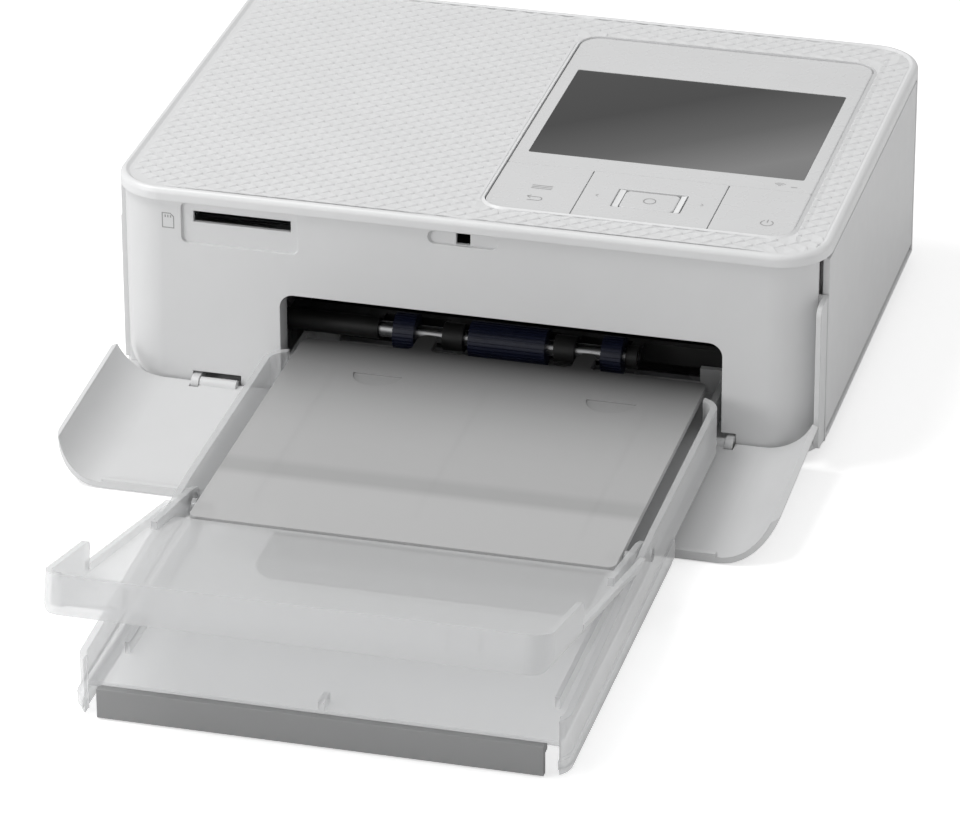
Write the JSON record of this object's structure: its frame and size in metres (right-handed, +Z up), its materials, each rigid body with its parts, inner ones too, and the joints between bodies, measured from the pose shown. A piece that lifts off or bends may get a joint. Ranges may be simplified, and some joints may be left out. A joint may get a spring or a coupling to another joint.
{
  "type": "compact photo printer",
  "caption": "Compact desktop photo printer with a hinged front door, a paper cassette with two hinged lids, a control panel with keys, a side door and a full roller and print head mechanism.",
  "frame": {"origin": "middle of the whole box's base, on the table", "axes": "+X to the printer's right seen from the front, +Y from the cassette's front towards the back of the printer, +Z up"},
  "size_m": [0.1822, 0.314, 0.0576],
  "materials": {
    "cover_white": "pearl white, fine relief",
    "shell_white": "satin white",
    "fascia_white": "satin white",
    "panel_white": "gloss white",
    "display_dark": "dark gloss window",
    "frosted": "frosted translucent",
    "bar_grey": "satin grey",
    "foot_rubber": "matte",
    "roller_rubber": "ribbed dark blue rubber",
    "platen_rubber": "smooth rubber",
    "steel": "plain steel",
    "sheet_steel": "zinc plated sheet",
    "sink_aluminium": "extruded aluminium",
    "black_plastic": "matte black",
    "gear_white": "natural acetal",
    "board_green": "solder mask green",
    "core_tan": "wound film on a core",
    "film_amber": "thin dye film"
  },
  "bodies": {
    "housing": {"base_pan": "shell_white", "rubber_feet": "foot_rubber", "case_screws": "steel", "shell": "shell_white", "front_fascia": "fascia_white", "top_cover": "cover_white", "control_panel": "panel_white", "lcd_window": "display_dark", "lcd_module": "black_plastic", "key_board": "board_green", "main_board": "board_green", "card_socket": "steel", "data_port": "steel", "power_inlet": "black_plastic", "rear_slot_guide": "black_plastic", "main_frame": "sheet_steel", "pickup_bracket": "black_plastic", "idler_stud": "steel", "motor_bracket": "sheet_steel", "drive_motor": "steel", "lower_guide": "black_plastic", "exit_guide": "black_plastic", "head_pivot_rod": "steel", "ink_shell": "black_plastic", "ribbon_film": "film_amber"},
    "front_door_body": {"front_door": "shell_white", "door_hinge_pins": "steel"},
    "ink_door_body": {"ink_door": "shell_white", "ink_door_pins": "steel"},
    "cassette_body": {"cassette_tray": "frosted", "cassette_bar": "bar_grey", "tray_base_plate": "bar_grey"},
    "inner_lid_body": {"inner_lid": "frosted", "inner_lid_pins": "steel"},
    "outer_lid_body": {"outer_lid": "frosted", "outer_lid_pins": "steel"},
    "left_key_body": {"left_key": "panel_white"},
    "rocker_key_body": {"rocker_key": "panel_white"},
    "ok_key_body": {"ok_key": "panel_white"},
    "power_key_body": {"power_key": "panel_white"},
    "platen_body": {"platen_roller": "platen_rubber", "platen_gear": "gear_white"},
    "feed_body": {"feed_roller": "steel", "feed_gear": "gear_white"},
    "pickup_body": {"pickup_shaft": "steel", "pickup_rollers": "roller_rubber", "pickup_gear": "gear_white"},
    "pinch_body": {"pinch_roller": "platen_rubber"},
    "idler_body": {"idler_gear": "gear_white"},
    "motor_shaft_body": {"motor_pinion": "gear_white"},
    "head_body": {"thermal_head": "sheet_steel", "heat_sink": "sink_aluminium"},
    "supply_body": {"supply_spool": "core_tan"},
    "takeup_body": {"takeup_spool": "core_tan", "takeup_spindle": "gear_white"}
  },
  "joints": [
    {"name": "front_door_hinge", "type": "hinge", "parent": "housing", "child": "front_door_body", "pos_m": [0, 0.02379, 0.0046], "axis": [-1, 0, 0], "range_deg": [0, 2.5]},
    {"name": "ink_door_hinge", "type": "hinge", "parent": "housing", "child": "ink_door_body", "pos_m": [0.0895, 0.09049, 0.0075], "axis": [0, 1, 0], "range_deg": [0, 90]},
    {"name": "cassette_slide", "type": "slide", "parent": "housing", "child": "cassette_body", "axis": [0, -1, 0], "range_m": [0, 0.07]},
    {"name": "inner_lid_hinge", "type": "hinge", "parent": "cassette_body", "child": "inner_lid_body", "pos_m": [0, -0.06001, 0.0158], "axis": [1, 0, 0], "range_deg": [0, 6]},
    {"name": "outer_lid_hinge", "type": "hinge", "parent": "cassette_body", "child": "outer_lid_body", "pos_m": [0, -0.05251, 0.0136], "axis": [-1, 0, 0], "range_deg": [0, 123]},
    {"name": "left_key_press", "type": "slide", "parent": "housing", "child": "left_key_body", "axis": [0, 0, -1], "range_m": [0, 0.0005], "stiffness_N_per_m": 400},
    {"name": "ok_key_press", "type": "slide", "parent": "housing", "child": "ok_key_body", "axis": [0, 0, -1], "range_m": [0, 0.0005], "stiffness_N_per_m": 400},
    {"name": "power_key_press", "type": "slide", "parent": "housing", "child": "power_key_body", "axis": [0, 0, -1], "range_m": [0, 0.0005], "stiffness_N_per_m": 400},
    {"name": "rocker_key_tilt", "type": "hinge", "parent": "housing", "child": "rocker_key_body", "pos_m": [0.04225, 0.09049, 0.0555], "axis": [0, 1, 0], "range_deg": [-1.3, 1.3], "stiffness_Nm_per_rad": 0.12},
    {"name": "platen_turn", "type": "hinge", "parent": "housing", "child": "platen_body", "pos_m": [0, 0.09048, 0.0186], "axis": [1, 0, 0], "continuous": true},
    {"name": "motor_turn", "type": "hinge", "parent": "housing", "child": "motor_shaft_body", "pos_m": [0, 0.10167, 0.02506], "axis": [1, 0, 0], "continuous": true},
    {"name": "idler_turn", "type": "hinge", "parent": "housing", "child": "idler_body", "pos_m": [0, 0.0726, 0.02784], "axis": [1, 0, 0], "continuous": true},
    {"name": "feed_turn", "type": "hinge", "parent": "housing", "child": "feed_body", "pos_m": [0, 0.05375, 0.0208], "axis": [1, 0, 0], "continuous": true},
    {"name": "pickup_turn", "type": "hinge", "parent": "housing", "child": "pickup_body", "pos_m": [0, 0.04049, 0.0173], "axis": [1, 0, 0], "continuous": true},
    {"name": "pinch_turn", "type": "hinge", "parent": "housing", "child": "pinch_body", "pos_m": [0, 0.05375, 0.0279], "axis": [1, 0, 0], "continuous": true},
    {"name": "takeup_turn", "type": "hinge", "parent": "housing", "child": "takeup_body", "pos_m": [0, 0.11258, 0.0332], "axis": [1, 0, 0], "continuous": true},
    {"name": "supply_turn", "type": "hinge", "parent": "housing", "child": "supply_body", "pos_m": [0, 0.06838, 0.0332], "axis": [1, 0, 0], "continuous": true},
    {"name": "head_lift", "type": "hinge", "parent": "housing", "child": "head_body", "pos_m": [0, 0.13648, 0.038], "axis": [-1, 0, 0], "range_deg": [0, 3]}
  ],
  "couplings": [
    {"joint": "motor_turn", "follows": "platen_turn", "ratio": -1.6667},
    {"joint": "idler_turn", "follows": "platen_turn", "ratio": -0.66667},
    {"joint": "feed_turn", "follows": "platen_turn", "ratio": 1},
    {"joint": "pickup_turn", "follows": "platen_turn", "ratio": -1.4286},
    {"joint": "pinch_turn", "follows": "platen_turn", "ratio": -1},
    {"joint": "supply_turn", "follows": "takeup_turn", "ratio": 1}
  ]
}
